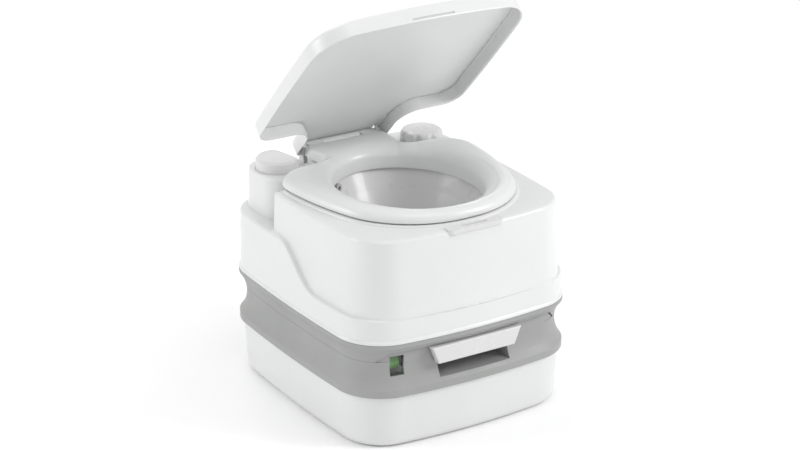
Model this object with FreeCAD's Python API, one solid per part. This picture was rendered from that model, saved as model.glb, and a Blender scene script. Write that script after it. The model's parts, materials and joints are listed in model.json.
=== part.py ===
"""Portable camp toilet: holding tank with a sliding gate valve, under a flush unit with bowl, seat and lid.

Millimetres, +Z up, front towards -Y, origin under the middle of the footprint on the floor.
"""
import FreeCAD, Part
import math
import os

V = FreeCAD.Vector
UP = V(0, 0, 1)

# ---- driving dimensions ----
WIDTH = 342.0            # over the lips of the grey band
DEPTH = 382.0
CORNER = 66.0            # plan radius of the corners
SIDE_BOW = 8.0           # how far the left and right sides bow outwards
END_BOW = 15.6           # how far the front and back bow outwards
WALL = 3.0
SHELL = 2.5              # wall of the thinner mouldings
GAP = 0.3                # clearance between bodies
SLIT = 0.1               # gap between still pieces that lie on each other

# heights of the lower unit
SHOULDER_Z = 72.0        # where the tank steps in under its cover
LIP_Z = 74.6             # lower edge of the grey cover
COVE_LOW_Z = 84.0        # where the waist starts
COVE_HIGH_Z = 141.5      # where the waist ends
COVE_DEPTH = 12.0        # at the front and back
SIDE_SHARE = 0.7         # the waist is this much of that deep at the sides
TANK_TOP_Z = 106.0
PARTING_Z = 120.0        # lower unit below, upper unit above
PANEL_TOP_Z = 134.0      # the front panel stands higher than the parting
PANEL_HALF_LOW, PANEL_HALF_TOP = 138.0, 122.0
PANEL_INSET = 11.0

# heights of the upper unit
SKIRT_Z = 146.9
PLATFORM_Z = 229.5       # ledge round the back half
RIDGE_Z = 180.0          # ledge round the front half
DECK_Z = 284.0
BLOCK_WIDTH, BLOCK_DEPTH, BLOCK_CORNER, BLOCK_Y = 314.4, 359.3, 55.0, -4.7

# gate valve and bowl outlet
PORT_Y = -24.0
PORT_R = 38.0
NECK_R = 48.0
BLADE_Z, BLADE_T, BLADE_HALF = 116.05, 3.0, 46.0
BLADE_BACK_Y = 30.0

# pump and filler
PUMP = V(-109, 130, 0)
PUMP_HEAD_R = 29.0
PUMP_TOP_Z, PUMP_HEAD_TOP_Z = 284.0, 300.0
FILLER = V(112, 120, 0)
FILLER_R = 24.0

# seat, lid and their hinge
HINGE_Y, HINGE_Z = 150.0, 296.0
PIN_R = 2.5
KNUCKLE_R = 7.0
TONGUE_HALF = 54.0       # the seat's barrels between the hinge lugs
PLATE_HALF = 60.5        # the seat's plate in front of the lugs
LID_TONGUE_HALF = 70.0   # the lid's, outside them
LUG_IN, LUG_OUT = 54.7, 60.7
SEAT_Z = 288.0
HOLE_A, HOLE_B, HOLE_Y = 94.0, 112.0, -24.0
SEAT_BACK_Y = 84.0       # the seat stops here beside the hinge
LID_BACK_Y = 87.5
TONGUE_BACK_Y = 141.5    # the seat's plate ends here, just before the lid's barrel
LID_OPEN_DEG = 46.0
LID_TOP_Z = 312.0
PAD_R = 4.5
SEAT_PADS = [V(x, y, 0) for x, y in ((-112, -62), (112, -62), (-122, 30), (122, 30))]

# spout and vent
SPOUT = V(118, 140, 0)
SPOUT_R, SPOUT_AXIS_Z = 19.0, 97.0
VENT = V(-95, 128, 0)

# level gauge
GAUGE_Y, GAUGE_Z = -153.0, 113.0
WINDOW_X, WINDOW_Z = (-120.0, -101.0), (100.0, 127.0)


# ---- simple shapes ----
def box(x0, x1, y0, y1, z0, z1):
    return Part.makeBox(x1 - x0, y1 - y0, z1 - z0, V(x0, y0, z0))


def rod(radius, start, end):
    return Part.makeCylinder(radius, (end - start).Length, start, end - start)


def upright(radius, centre, z0, z1):
    return Part.makeCylinder(radius, z1 - z0, V(centre.x, centre.y, z0))


def tube(outer, inner, centre, z0, z1):
    return upright(outer, centre, z0, z1).cut(upright(inner, centre, z0 - 1, z1 + 1))


def fuse(shapes):
    whole = shapes[0]
    for shape in shapes[1:]:
        whole = whole.fuse(shape)
    return whole.removeSplitter()


def cut_all(shape, tools):
    for tool in tools:
        shape = shape.cut(tool)
    return shape


def polygon(points):
    return Part.Face(Part.makePolygon(points + points[:1]))


def unit(x, y):
    length = math.hypot(x, y)
    return x / length, y / length


def outline(width, depth, corner, z, y_mid=0.0, side_bow=SIDE_BOW, end_bow=END_BOW):
    """Rounded rectangle with bowed sides: eight arcs that meet smoothly."""
    a, b = width / 2, depth / 2
    end_r = (a * a + end_bow ** 2) / (2 * end_bow)
    side_r = (b * b + side_bow ** 2) / (2 * side_bow)
    end_c, side_c = b - end_r, a - side_r
    # the corner arc lies inside both big arcs, so its centre is where two circles cross
    reach_end, reach_side = end_r - corner, side_r - corner
    span = math.hypot(side_c, end_c)
    ux, uy = side_c / span, -end_c / span
    along = (reach_end ** 2 - reach_side ** 2 + span ** 2) / (2 * span)
    off = math.sqrt(reach_end ** 2 - along ** 2)
    cx, cy = max(((ux * along - s * uy * off, end_c + uy * along + s * ux * off) for s in (1, -1)), key=sum)
    ex, ey = unit(cx, cy - end_c)
    sx, sy = unit(cx - side_c, cy)
    mx, my = unit(ex + sx, ey + sy)
    top = (cx + ex * corner, cy + ey * corner)
    mid = (cx + mx * corner, cy + my * corner)
    right = (cx + sx * corner, cy + sy * corner)

    def at(point, flip_x, flip_y):
        return V(point[0] * flip_x, point[1] * flip_y + y_mid, z)

    arcs = []
    for fx, fy in ((1, 1), (1, -1), (-1, -1), (-1, 1)):
        first, last = (top, right) if fx * fy > 0 else (right, top)
        arcs.append(Part.Arc(at(first, fx, fy), at(mid, fx, fy), at(last, fx, fy)).toShape())
        if fx * fy > 0:
            side_mid = V(a * fx, y_mid, z)
            arcs.append(Part.Arc(at(right, fx, fy), side_mid, at(right, fx, -fy)).toShape())
        else:
            end_mid = V(0, b * fy + y_mid, z)
            arcs.append(Part.Arc(at(top, fx, fy), end_mid, at(top, -fx, fy)).toShape())
    return Part.Wire(arcs)


def stack(sections, y_mid=0.0, **bows):
    """Solid through outlines given as (z, width, depth, corner)."""
    wires = [outline(w, d, r, z, y_mid, **bows) for z, w, d, r in sections]
    return Part.makeLoft(wires, True, True)


def slab(width, depth, corner, z0, z1, y_mid=0.0, **bows):
    return Part.Face(outline(width, depth, corner, z0, y_mid, **bows)).extrude(UP * (z1 - z0))


def inset_section(z, inset):
    return z, WIDTH - 2 * inset, DEPTH - 2 * inset, CORNER - inset


def cove(z):
    """Inset of the waist at a height: a circular arc between its two edges."""
    half = (COVE_HIGH_Z - COVE_LOW_Z) / 2
    middle = COVE_LOW_Z + half
    radius = (half ** 2 + COVE_DEPTH ** 2) / (2 * COVE_DEPTH)
    if abs(z - middle) >= half:
        return 0.0
    return math.sqrt(radius ** 2 - (z - middle) ** 2) - (radius - COVE_DEPTH)


def waist_section(z, extra):
    depth = cove(z)
    width = WIDTH - 2 * (SIDE_SHARE * depth + extra)
    return z, width, DEPTH - 2 * (depth + extra), CORNER - 0.85 * depth - extra


def waisted(z0, z1, extra=0.0, steps=8):
    """Solid that follows the waist, inset by extra all round."""
    heights = [z0] + [z for z in (COVE_LOW_Z, COVE_HIGH_Z) if z0 < z < z1] + [z1]
    levels = []
    for low, high in zip(heights, heights[1:]):
        count = steps if COVE_LOW_Z <= low < COVE_HIGH_Z else 1
        levels += [low + (high - low) * k / count for k in range(count)]
    levels.append(z1)
    return stack([waist_section(z, extra) for z in levels])


def waist_core(extra, z0, z1):
    """Upright slab that stands in the narrowest part of the waist, inset by extra."""
    return slab(*waist_section((COVE_LOW_Z + COVE_HIGH_Z) / 2, extra)[1:], z0, z1)


def ellipse(a, b, z, y=HOLE_Y):
    turn = FreeCAD.Rotation(UP, 90) if b > a else FreeCAD.Rotation()
    curve = Part.Ellipse(V(0, 0, 0), max(a, b), min(a, b)).toShape()
    curve.Placement = FreeCAD.Placement(V(0, y, z), turn)
    return Part.Wire(curve)


def oval_slab(a, b, z0, z1):
    return Part.Face(ellipse(a, b, z0)).extrude(UP * (z1 - z0))


def oval_stack(sections, ruled=True):
    return Part.makeLoft([ellipse(a, b, z) for z, a, b in sections], True, ruled)


def pipe(points, outer, inner):
    """Tube along straight runs with ball-shaped elbows."""
    runs = list(zip(points, points[1:]))
    solid = fuse([rod(outer, p, q) for p, q in runs] + [Part.makeSphere(outer, p) for p in points[1:-1]])
    first, last = points[0] - points[1], points[-1] - points[-2]
    ends = [points[0] + first.normalize()] + points[1:-1] + [points[-1] + last.normalize()]
    bore = fuse([rod(inner, p, q) for p, q in zip(ends, ends[1:])]
                + [Part.makeSphere(inner, p) for p in points[1:-1]])
    return solid.cut(bore)


def screw(head, tip, head_r=4.0, shank_r=2.0, head_t=2.0):
    """Pan-head screw from the top of its head to its tip."""
    way = (tip - head).normalize()
    return rod(head_r, head, head + way * head_t).fuse(rod(shank_r, head + way * head_t, tip))


def corner_posts(x, y_values, z0, z1, radius):
    return [upright(radius, V(side * x, y, 0), z0, z1) for side in (-1, 1) for y in y_values]


# ---- shared cut-outs of the lower unit ----
SPOUT_POCKET = (12.0, 150.0, 110.0, 200.0, 70.0)
FINGER_NOTCH = (-74.0, 74.0, -200.0, -141.0, 82.0)
DRUM_NOTCH = (-126.0, -98.6, -200.0, -136.0, 96.0)
ARM_X = -88.0
ARM_SLOT = (ARM_X - 4, ARM_X + 4, -160.0, -120.0)


def notch(edges, grow=0.0, top=130.0):
    x0, x1, y0, y1, z0 = edges
    return box(x0 - grow, x1 + grow, y0 - grow, y1 + grow, z0 - grow, top)


# ---- lower unit: tank, cover, valve ----
def waste_tank():
    lower = stack([(0, 325, 365, 60), (SHOULDER_Z, 333, 373, 64)])
    foot_edges = [e for e in lower.Edges if e.BoundBox.ZMax < 0.1]
    lower = lower.makeFillet(12.0, foot_edges)
    solid = lower.fuse(slab(310, 350, 54, SHOULDER_Z - 1, TANK_TOP_Z))
    room = stack([(WALL, 315, 355, 55), (SHOULDER_Z - WALL, 327, 367, 61)])
    room = room.fuse(slab(304, 344, 51, SHOULDER_Z - 5, TANK_TOP_Z - WALL))
    for edges in (SPOUT_POCKET, FINGER_NOTCH, DRUM_NOTCH):
        solid = solid.cut(notch(edges))
        room = room.cut(notch(edges, WALL))
    x0, x1, y0, y1 = ARM_SLOT
    openings = [
        upright(NECK_R, V(0, PORT_Y, 0), 98, 110),
        upright(SPOUT_R + 1.3, SPOUT, 64, 75),
        upright(9.2, VENT, 98, 110),
        box(x0, x1, y0 + 3, y1, 98, 110),
    ]
    return cut_all(solid.cut(room), openings)


def panel_wedge(grow=0.0, y0=-200.0, y1=-100.0, z_low=PARTING_Z):
    """The slanted-sided block in which the front panel rises past the parting line."""
    low, top = PANEL_HALF_LOW + grow, PANEL_HALF_TOP + grow
    z_top = PANEL_TOP_Z + grow
    corners = [V(-low, y0, z_low), V(-top, y0, z_top), V(top, y0, z_top), V(low, y0, z_low)]
    return polygon(corners).extrude(V(0, y1 - y0, 0))


def panel_core(extra, z0, z1):
    """Upright slab whose front is the front of the panel, inset by extra."""
    return slab(*inset_section(0, PANEL_INSET + extra)[1:], z0, z1)


RECESS_HALF, RECESS_BACK_Y, RECESS_Z = 53.5, -148.5, (88.5, 131.0)


def tank_cover():
    plate_z = TANK_TOP_Z + GAP
    shell = waisted(LIP_Z, PARTING_Z).cut(waisted(LIP_Z - 1, plate_z, SHELL))
    shell = shell.cut(waisted(plate_z + WALL, PARTING_Z + 1, SHELL))
    panel = panel_core(0, PARTING_Z - 4, PANEL_TOP_Z).cut(panel_core(SHELL, PARTING_Z - 5, PANEL_TOP_Z + 1))
    panel = panel.common(panel_wedge(z_low=PARTING_Z - 4))
    low, high = RECESS_Z
    half = RECESS_HALF + SHELL
    recess = box(-half, half, -185, RECESS_BACK_Y + SHELL, low - SHELL, high + SHELL)
    recess = recess.common(waisted(LIP_Z, PARTING_Z).fuse(panel_core(0, PARTING_Z - 2, PANEL_TOP_Z)))
    wx, wz = WINDOW_X, WINDOW_Z
    solid = fuse([shell, panel, recess])
    sx0, sx1, sy0, sy1, _ = SPOUT_POCKET
    gauge_way = box(wx[0] - 5, -77.2, -180, -117, 99, 112).common(waist_core(SHELL, 98, 113))
    tools = [
        box(-RECESS_HALF, RECESS_HALF, -200, RECESS_BACK_Y, low, high),
        box(-BLADE_HALF - 0.5, BLADE_HALF + 0.5, -160, -140, BLADE_Z - GAP, BLADE_Z + BLADE_T + GAP),
        box(wx[0], wx[1], -200, -165, wz[0], wz[1]),
        gauge_way,
        box(sx0, sx1, sy0 - 2, sy1, LIP_Z - 6, PARTING_Z + 5),
        upright(62, V(0, PORT_Y, 0), 100, 112),
        upright(14, VENT, 100, 112),
    ]
    return cut_all(solid, tools)


def tank_gasket():
    return tube(60, NECK_R + 1, V(0, PORT_Y, 0), TANK_TOP_Z + SLIT, 109.3)


VALVE_HALF, VALVE_Y = 62.0, (-138.0, 52.0)
VALVE_SCREWS_Y = (-128.0, -60.0, 44.0)


def valve_seat():
    centre = V(0, PORT_Y, 0)
    plate = box(-VALVE_HALF, VALVE_HALF, VALVE_Y[0], VALVE_Y[1], 109.4, 115.6)
    neck = upright(NECK_R - 0.4, centre, 98, 110)
    solid = plate.fuse(neck).cut(upright(PORT_R, centre, 90, 120))
    solid = solid.cut(tube(43.7, 39.3, centre, 113.0, 120))
    return cut_all(solid, corner_posts(54, VALVE_SCREWS_Y, 110.8, 120, 2.0))


def valve_lip_seal():
    return tube(43.5, 39.5, V(0, PORT_Y, 0), 113.1, 115.8)


def valve_guide():
    top = box(-VALVE_HALF, VALVE_HALF, VALVE_Y[0], VALVE_Y[1], 115.7, 122.4)
    lane_half = BLADE_HALF + GAP
    lane = box(-lane_half, lane_half, VALVE_Y[0] - 1, BLADE_BACK_Y + 4, 115, BLADE_Z + BLADE_T + GAP)
    solid = top.cut(lane).cut(upright(PORT_R, V(0, PORT_Y, 0), 110, 130))
    return cut_all(solid, corner_posts(54, VALVE_SCREWS_Y, 110, 130, 2.2))


def valve_screws():
    places = [V(side * 54, y, 0) for side in (-1, 1) for y in VALVE_SCREWS_Y]
    return Part.makeCompound([screw(p + UP * 124.5, p + UP * 111, shank_r=1.9) for p in places])


HANDLE_FRONT_Y, HANDLE_BACK_Y = -190.0, -180.6
HANDLE_SCREW_X, HANDLE_SCREW_Z = 25.0, 125.0


def valve_blade():
    blade = box(-BLADE_HALF, BLADE_HALF, -176, BLADE_BACK_Y, BLADE_Z, BLADE_Z + BLADE_T)
    flange = box(-42, 42, HANDLE_BACK_Y + 0.1, HANDLE_BACK_Y + 4.1, 112, 130)
    web = box(-42, 42, HANDLE_BACK_Y + 4, -170, BLADE_Z, BLADE_Z + BLADE_T)
    solid = fuse([blade, flange, web])
    holes = [rod(2.2, V(s * HANDLE_SCREW_X, -190, HANDLE_SCREW_Z), V(s * HANDLE_SCREW_X, -170, HANDLE_SCREW_Z))
             for s in (-1, 1)]
    return cut_all(solid, holes)


def valve_handle():
    """Pull handle: a slanted-sided bar, hollow behind, with a lip for the fingers at its lower edge."""
    def bar(grow, front, back):
        y = HANDLE_FRONT_Y + front
        low, high = 109.0 + grow, 133.0 - grow
        corners = [V(-68 + grow, y, high), V(68 - grow, y, high), V(58 - grow, y, low), V(-58 + grow, y, low)]
        return polygon(corners).extrude(V(0, back - front, 0))

    depth = HANDLE_BACK_Y - HANDLE_FRONT_Y
    solid = bar(0, 0, depth)
    front_edges = [e for e in solid.Edges if e.BoundBox.YMax < HANDLE_FRONT_Y + 0.1]
    solid = solid.makeFillet(2.0, front_edges).cut(bar(2.4, 2.6, depth + 1))
    posts = [rod(4.5, V(s * HANDLE_SCREW_X, HANDLE_FRONT_Y + 2, HANDLE_SCREW_Z),
                 V(s * HANDLE_SCREW_X, HANDLE_BACK_Y, HANDLE_SCREW_Z)) for s in (-1, 1)]
    pilots = [rod(1.6, V(s * HANDLE_SCREW_X, HANDLE_FRONT_Y + 3.4, HANDLE_SCREW_Z),
                  V(s * HANDLE_SCREW_X, HANDLE_BACK_Y + 1, HANDLE_SCREW_Z)) for s in (-1, 1)]
    return cut_all(fuse([solid] + posts), pilots)


def handle_screws():
    heads = HANDLE_BACK_Y + 4.2
    return Part.makeCompound([
        screw(V(s * HANDLE_SCREW_X, heads + 2, HANDLE_SCREW_Z),
              V(s * HANDLE_SCREW_X, HANDLE_FRONT_Y + 3.6, HANDLE_SCREW_Z), 3.6, 1.5) for s in (-1, 1)])


# ---- lower unit: level gauge ----
def level_window():
    pane = box(WINDOW_X[0] - 2, WINDOW_X[1] + 2, -174, -164.5, WINDOW_Z[0] - 2, WINDOW_Z[1] + 2)
    return pane.common(waist_core(SHELL + SLIT, 90, 140)).cut(waist_core(SHELL + SLIT + 1.5, 90, 140))


def float_housing():
    """Hood over the slot that the float's arm passes through, with a bore for the shaft."""
    hood = box(-98, -78, -166, -118, TANK_TOP_Z + SLIT, 125)
    hood = hood.cut(box(-95.5, -80.5, -163.5, -120.5, 100, 122.5))
    shaft = V(-99, GAUGE_Y, GAUGE_Z)
    return hood.cut(rod(2.06, shaft, shaft + V(30, 0, 0))).cut(rod(4.2, V(-98.1, GAUGE_Y, GAUGE_Z),
                                                                 V(-96.6, GAUGE_Y, GAUGE_Z)))


def float_shaft_seal():
    ring = rod(4.1, V(-98, GAUGE_Y, GAUGE_Z), V(-96.7, GAUGE_Y, GAUGE_Z))
    return ring.cut(rod(2.06, V(-99, GAUGE_Y, GAUGE_Z), V(-95, GAUGE_Y, GAUGE_Z)))


FLOAT_Y, FLOAT_Z, FLOAT_R = -95.0, 35.0, 15.0


def float_arm():
    shaft = rod(2.0, V(-117, GAUGE_Y, GAUGE_Z), V(-79, GAUGE_Y, GAUGE_Z))
    pivot, end = V(ARM_X, GAUGE_Y, GAUGE_Z), V(ARM_X, FLOAT_Y, FLOAT_Z)
    return fuse([shaft, rod(2.0, pivot, end)])


def float_ball():
    centre = V(ARM_X, FLOAT_Y, FLOAT_Z)
    way = (V(ARM_X, GAUGE_Y, GAUGE_Z) - centre).normalize()
    ball = Part.makeSphere(FLOAT_R, centre).cut(Part.makeSphere(FLOAT_R - 2, centre))
    sleeve = rod(4, centre, centre + way * (FLOAT_R - 0.5)).fuse(Part.makeSphere(4, centre))
    return fuse([ball, sleeve]).cut(rod(2.05, centre - way * 2.2, centre + way * 20))


DRUM_R = 11.0


def drum_ring(outer, inner, x0, x1):
    return rod(outer, V(x0, GAUGE_Y, GAUGE_Z), V(x1, GAUGE_Y, GAUGE_Z)).cut(
        rod(inner, V(x0 - 1, GAUGE_Y, GAUGE_Z), V(x1 + 1, GAUGE_Y, GAUGE_Z)))


def level_drum():
    hub = drum_ring(4.5, 2.05, -118.5, -102.5)
    disc = drum_ring(DRUM_R - 0.5, 4, -118.5, -116.5)
    shell = drum_ring(DRUM_R, DRUM_R - 2, -118.5, -102.5)
    bed = drum_ring(DRUM_R + 1, DRUM_R - 0.8, -117.5, -103.5).common(red_sector())
    return fuse([hub, disc, shell]).cut(bed)


def red_sector():
    """Wedge at the top of the drum, which turns forward to the window as the tank fills."""
    axis, front, back = (V(-125, GAUGE_Y + dy, GAUGE_Z + dz) for dy, dz in ((0, 0), (-16, 30), (14, 30)))
    return polygon([axis, front, back]).extrude(V(30, 0, 0))


def level_red_band():
    return drum_ring(DRUM_R - 0.05, DRUM_R - 0.75, -117.45, -103.55).common(red_sector())


# ---- lower unit: spout, vent and lock ----
def spout_collar():
    ring = tube(27, SPOUT_R + 0.35, SPOUT, 70.1, 76.0)
    neck = tube(SPOUT_R + 1.2, SPOUT_R + 0.35, SPOUT, 62.0, 71.0)
    return fuse([ring, neck]).cut(tube(SPOUT_R + 2.6, SPOUT_R - 1, SPOUT, 72.0, 74.4))


def spout_seal():
    return tube(SPOUT_R + 2.5, SPOUT_R + 0.06, SPOUT, 72.1, 74.3)


SPOUT_MOUTH_X = 28.0


def pour_spout():
    elbow = V(SPOUT.x, SPOUT.y, SPOUT_AXIS_Z)
    mouth = V(SPOUT_MOUTH_X, SPOUT.y, SPOUT_AXIS_Z)
    body = pipe([V(SPOUT.x, SPOUT.y, 62), elbow, mouth], SPOUT_R, SPOUT_R - 3)
    collar = rod(SPOUT_R + 1.5, V(47, SPOUT.y, SPOUT_AXIS_Z), V(49.5, SPOUT.y, SPOUT_AXIS_Z))
    collar = collar.cut(rod(SPOUT_R - 2, V(46, SPOUT.y, SPOUT_AXIS_Z), V(51, SPOUT.y, SPOUT_AXIS_Z)))
    return body.fuse(collar).cut(
        rod(SPOUT_R + 3, V(27, SPOUT.y, SPOUT_AXIS_Z), V(44, SPOUT.y, SPOUT_AXIS_Z)).cut(
            rod(SPOUT_R - 1, V(26, SPOUT.y, SPOUT_AXIS_Z), V(45, SPOUT.y, SPOUT_AXIS_Z))))


def spout_cap():
    def disc(radius, x0, x1):
        return rod(radius, V(x0, SPOUT.y, SPOUT_AXIS_Z), V(x1, SPOUT.y, SPOUT_AXIS_Z))

    cap = disc(21.5, 22, 43).cut(disc(SPOUT_R - 0.7, 24.4, 44))
    grips = []
    for k in range(16):
        angle = 2 * math.pi * k / 16
        y, z = SPOUT.y + 22.3 * math.cos(angle), SPOUT_AXIS_Z + 22.3 * math.sin(angle)
        grips.append(rod(1.6, V(24, y, z), V(44, y, z)))
    return cut_all(cap, grips)


def spout_cap_seal():
    return rod(17.6, V(24.5, SPOUT.y, SPOUT_AXIS_Z), V(27.4, SPOUT.y, SPOUT_AXIS_Z))


def vent_seat():
    body = tube(9.0, 3.06, VENT, 98, 109.4)
    return fuse([body, tube(13, 8, VENT, TANK_TOP_Z + SLIT, 109.4)]).cut(tube(8, 5, VENT, 97, 104))


def vent_button():
    return fuse([upright(10, VENT, 117, 121), upright(3, VENT, 92, 118), upright(5, VENT, 92, 93.5)])


def vent_stem_seal():
    return tube(8.5, 3.05, VENT, 93.6, 97.5)


def vent_spring():
    rings = [Part.makeTorus(6, 0.7, V(VENT.x, VENT.y, z)) for z in (110.3, 112.2, 114.1, 116.0)]
    return Part.makeCompound(rings)


LOCK_Y = (180.9, 184.9)


def latch_guide():
    """Two rails in the waist at the back that hold the slider."""
    y0, y1 = LOCK_Y
    pieces = [box(-124, -56, 160, y1 + 2.4, z, z + 3.4) for z in (94.0, 113.4)]
    pieces += [box(-124, -56, y1 + GAP, y1 + 2.4, z, z + 3) for z in (96.2, 111.6)]
    stem_way = box(-113, -90, y0 - 1, 200, 111, 120)
    return cut_all(fuse(pieces), [waisted(LIP_Z, PARTING_Z, -SLIT), stem_way])


def latch_slider():
    y0, y1 = LOCK_Y
    plate = box(-112, -72, y0, y1, 97.7, 113.1)
    stem = box(-112, -105, y0, y1, 112, 131.5)
    nose = box(-106, -92, y0, y1, 127.2, 131.5)
    ribs = [box(x, x + 1.6, y1 - 0.5, y1 + 2.2, 101, 110) for x in range(-104, -80, 5)]
    return fuse([plate, stem, nose] + ribs)


# ---- upper unit: shell and base ----
LOCK_NOTCH = (-118.0, -60.0, 170.0, 200.0, PARTING_Z - 1, 134.5)


def base_ring():
    wall = waisted(PARTING_Z + GAP, SKIRT_Z - SLIT).cut(waisted(PARTING_Z - 1, SKIRT_Z - WALL, WALL))
    screw_holes = [upright(2.2, V(x, y, 0), 140, 150) for x, y in RING_SCREWS]
    return cut_all(wall, [slab(290, 330, 46, 100, 160), panel_wedge(GAP, y1=-60, z_low=PARTING_Z - 2),
                          box(*LOCK_NOTCH)] + screw_holes)


RING_SCREWS = [(-158, -60), (-158, 60), (158, -60), (158, 60), (-60, 176), (60, 176), (-90, -172), (90, -172)]


def ring_screws():
    return Part.makeCompound([
        screw(V(x, y, SKIRT_Z - WALL - 2.4), V(x, y, 149.5)) for x, y in RING_SCREWS])


def tank_floor():
    plate = slab(WIDTH - 6.6, DEPTH - 6.6, CORNER - 3.3, SKIRT_Z + SLIT, SKIRT_Z + SLIT + WALL)
    collar = tube(50, 44.5, V(0, PORT_Y, 0), 140, 153)
    solid = plate.fuse(collar).cut(upright(44.5, V(0, PORT_Y, 0), 130, 170))
    return cut_all(solid, [upright(2.1, V(x, y, 0), 140, 149.6) for x, y in RING_SCREWS])


def latch_strike():
    """Hook under the ring: the slider's nose slides over its foot."""
    y0, y1 = LOCK_Y
    leg = box(-72, -64, y0, y1, 121.4, 134.4)
    foot = box(-90, -71, y0, y1, 121.4, 126.6)
    return fuse([leg, foot])


def ledge_cutter(drop=0.0):
    """Everything above the ledge: level at the back, an easy S down to the front."""
    back, front = PLATFORM_Z - drop, RIDGE_Z - drop
    y_top, y_low = 27.0, -60.0
    upper = [V(-200, 250, back), V(-200, y_top, back)]
    points = []
    for k in range(1, 13):
        t = k / 13
        points.append(V(-200, y_top + (y_low - y_top) * t, back + (front - back) * (3 * t ** 2 - 2 * t ** 3)))
    lower = [V(-200, y_low, front), V(-200, -250, front), V(-200, -250, 330), V(-200, 250, 330)]
    return polygon(upper + points + lower).extrude(V(400, 0, 0))


def block(inset, z0, z1):
    """The upper part of the flush unit, which leans in a little towards the deck."""
    lean = 4.0
    w, d, r = BLOCK_WIDTH - 2 * inset, BLOCK_DEPTH - 2 * inset, BLOCK_CORNER - inset
    share = (DECK_Z - z0) / (DECK_Z - RIDGE_Z)
    return stack([(z0, w + 2 * lean * share, d + 2 * lean * share, r + lean * share), (z1, w, d, r)], BLOCK_Y)


PUMP_BAY = (-200.0, -74.0, 56.0, 220.0)
HINGE_BAY = (-80.0, 74.0, 128.0, 220.0)
HINGE_BAY_Z = 268.0


def pump_bay(grow=0.0):
    x0, x1, y0, y1 = PUMP_BAY
    bay = box(x0, x1 + grow, y0 - grow, y1, PLATFORM_Z - grow, 330)
    edge = [e for e in bay.Edges if e.BoundBox.XMin > x1 - 1 and e.BoundBox.YMax < y0 + 1 and e.Length > 50]
    return bay.makeFillet(20 + grow, edge)


def hinge_bay(grow=0.0):
    x0, x1, y0, y1 = HINGE_BAY
    return box(x0 - grow, x1 + grow, y0 - grow, y1, HINGE_BAY_Z - grow, 330)


PLINTH_Z = 286.5
PLINTH_HALF = 66.0       # half width of the part that runs back to the hinge


def plinth():
    """Raised rim of the deck that the seat comes down on."""
    whole = seat_stack([(DECK_Z - 2, -4.0), (PLINTH_Z, -4.0)])
    half = PLINTH_HALF
    tongue = [(half, 88), (half, 124), (-half, 124), (-half, 46)]
    keep = [(200, -200), (200, 88)] + tongue + [(-200, 46), (-200, -200)]
    return whole.common(polygon([V(x, y, DECK_Z - 3) for x, y in keep]).extrude(UP * 8))


CATCH_HALF = 41.0
CATCH_FRONT_Y, CATCH_Z = -186.6, 279.6


def catch_place(grow=0.0):
    half = CATCH_HALF + grow
    return box(-half, half, CATCH_FRONT_Y - grow, -172 + grow, CATCH_Z - grow, 330)


def upper_body():
    skirt = stack([inset_section(SKIRT_Z, 0), inset_section(152, 2.2), inset_section(PLATFORM_Z + 6, 3.6)])
    solid = skirt.cut(ledge_cutter()).fuse(block(0, SKIRT_Z + 6, DECK_Z)).fuse(plinth())
    solid = solid.cut(pump_bay()).cut(hinge_bay())
    room = stack([inset_section(SKIRT_Z - 1, WALL), inset_section(PLATFORM_Z + 6, 3.6 + WALL)])
    room = room.cut(ledge_cutter(WALL)).fuse(block(WALL, SKIRT_Z, DECK_Z - WALL))
    room = room.cut(pump_bay(WALL)).cut(hinge_bay(WALL))
    holes = [
        oval_slab(HOLE_A + 6, HOLE_B + 6, 270, 300),
        upright(FILLER_R + 0.1, FILLER, 270, 300),
        upright(6.2, PUMP, 210, 240),
        upright(5.2, FLUSH_PORT, 210, 240),
        catch_place(SLIT),
    ] + [upright(2.1, p, 260, 270) for p in HINGE_SCREWS]
    return cut_all(solid.cut(room), holes)


# ---- upper unit: bowl ----
BOWL_MOUTH = 8.0         # how much wider the bowl's mouth is than the seat's hole
BOWL_OUTLET_R = 42.0
# height, and share of the way from mouth to outlet
BOWL_FORM = [(268, 0.0), (244, 0.16), (212, 0.42), (180, 0.72), (154, 1.0)]


def bowl_solid(inset, z_top, z_low):
    """Oval rim that narrows smoothly to the round outlet."""
    mouth_a, mouth_b = HOLE_A + BOWL_MOUTH, HOLE_B + BOWL_MOUTH
    sections = [(z_top, mouth_a - inset, mouth_b - inset)]
    for z, share in BOWL_FORM + [(z_low, 1.0)]:
        a = mouth_a + (BOWL_OUTLET_R - mouth_a) * share - inset
        b = mouth_b + (BOWL_OUTLET_R - mouth_b) * share - inset
        sections.append((z, a, b + 0.01))
    return oval_stack(sections)


def bowl():
    rim = oval_slab(HOLE_A + 14, HOLE_B + 14, 277.5, DECK_Z - WALL - SLIT).cut(pump_bay(WALL + GAP))
    inner = bowl_solid(SHELL, 284, 120)
    return cut_all(bowl_solid(0.2, 280.8, 123.2).fuse(rim), [inner, rod(6.6, *NOZZLE_LINE)])


def bowl_gasket():
    port = V(0, PORT_Y, 0)
    return tube(49.5, 42.1, port, 122.8, 129.0).fuse(tube(49.5, 39.5, port, 122.8, 123.1))


# ---- upper unit: pump ----
def column(inset, z0, z1):
    """The pump's upright block, an oblong with round ends that narrows slightly to its top."""
    w, d, r = 67.2 - 2 * inset, 94.0 - 2 * inset, 32.6 - inset
    lean = 3.2 * (PUMP_TOP_Z - z0) / (PUMP_TOP_Z - PLATFORM_Z)
    solid = stack([(z0, w + lean, d + lean, r + lean / 2), (z1, w, d, r)], 124.0, side_bow=0.6, end_bow=0.6)
    solid.translate(V(-109.8, 0, 0))
    return solid


def pump_housing():
    room = column(SHELL, PLATFORM_Z - 1, PUMP_TOP_Z - 1)
    return column(0, PLATFORM_Z + SLIT, PUMP_TOP_Z - 4).cut(room)


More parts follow.
